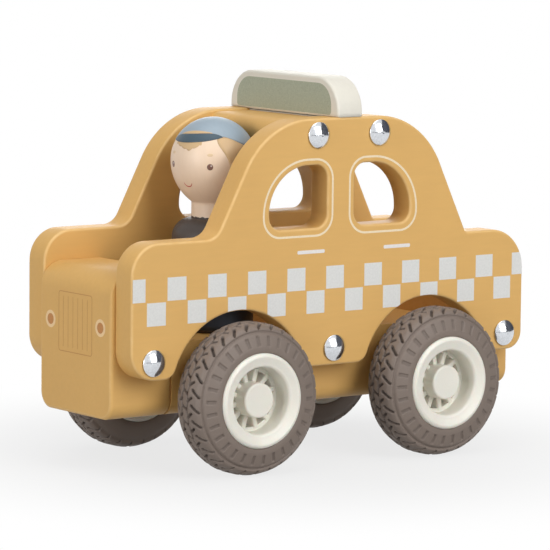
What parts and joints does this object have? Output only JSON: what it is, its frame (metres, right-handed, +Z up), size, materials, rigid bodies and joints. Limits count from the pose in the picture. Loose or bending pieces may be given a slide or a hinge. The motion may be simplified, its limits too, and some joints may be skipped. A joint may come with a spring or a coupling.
{
  "type": "wooden toy taxi",
  "caption": "Wooden toy taxi with painted side panels bolted to wooden blocks, open cabin, roof sign, rolling axles with ribbed hubs and treaded tyres, and a peg doll driver that turns.",
  "frame": {"origin": "on the ground under the middle of the car's length and width", "axes": "+X to the nose, +Y to the car's left side, +Z up"},
  "size_m": [0.1742, 0.0922, 0.1347],
  "materials": {
    "yellow_paint": "matt ochre yellow paint on wood",
    "cream_paint": "matt cream paint on wood",
    "bolt_chrome": "polished",
    "axle_steel": "drawn rod",
    "hub_plastic": "satin moulded",
    "tyre_rubber": "matt moulded",
    "doll_clothes": "matt paint on turned wood",
    "doll_skin": "satin paint on turned wood"
  },
  "bodies": {
    "taxi_body": {"left_panel": "yellow_paint", "right_panel": "yellow_paint", "nose_block": "yellow_paint", "floor_block": "yellow_paint", "tail_block": "yellow_paint", "roof_board": "yellow_paint", "roof_sign": "cream_paint", "roof_bolts": "bolt_chrome", "lower_bolts": "bolt_chrome"},
    "front_wheelset": {"front_axle": "axle_steel", "front_left_hub": "hub_plastic", "front_right_hub": "hub_plastic", "front_left_tyre": "tyre_rubber", "front_right_tyre": "tyre_rubber"},
    "rear_wheelset": {"rear_axle": "axle_steel", "rear_left_hub": "hub_plastic", "rear_right_hub": "hub_plastic", "rear_left_tyre": "tyre_rubber", "rear_right_tyre": "tyre_rubber"},
    "driver": {"driver_body": "doll_clothes", "driver_head": "doll_skin"}
  },
  "joints": [
    {"name": "front_wheels_roll", "type": "hinge", "parent": "taxi_body", "child": "front_wheelset", "pos_m": [0.0405, 0, 0.0264], "axis": [0, 1, 0], "continuous": true},
    {"name": "rear_wheels_roll", "type": "hinge", "parent": "taxi_body", "child": "rear_wheelset", "pos_m": [-0.0415, 0, 0.0264], "axis": [0, 1, 0], "continuous": true},
    {"name": "driver_turn", "type": "hinge", "parent": "taxi_body", "child": "driver", "pos_m": [0.0296, 0, 0.0458], "axis": [0, 0, 1], "continuous": true}
  ]
}
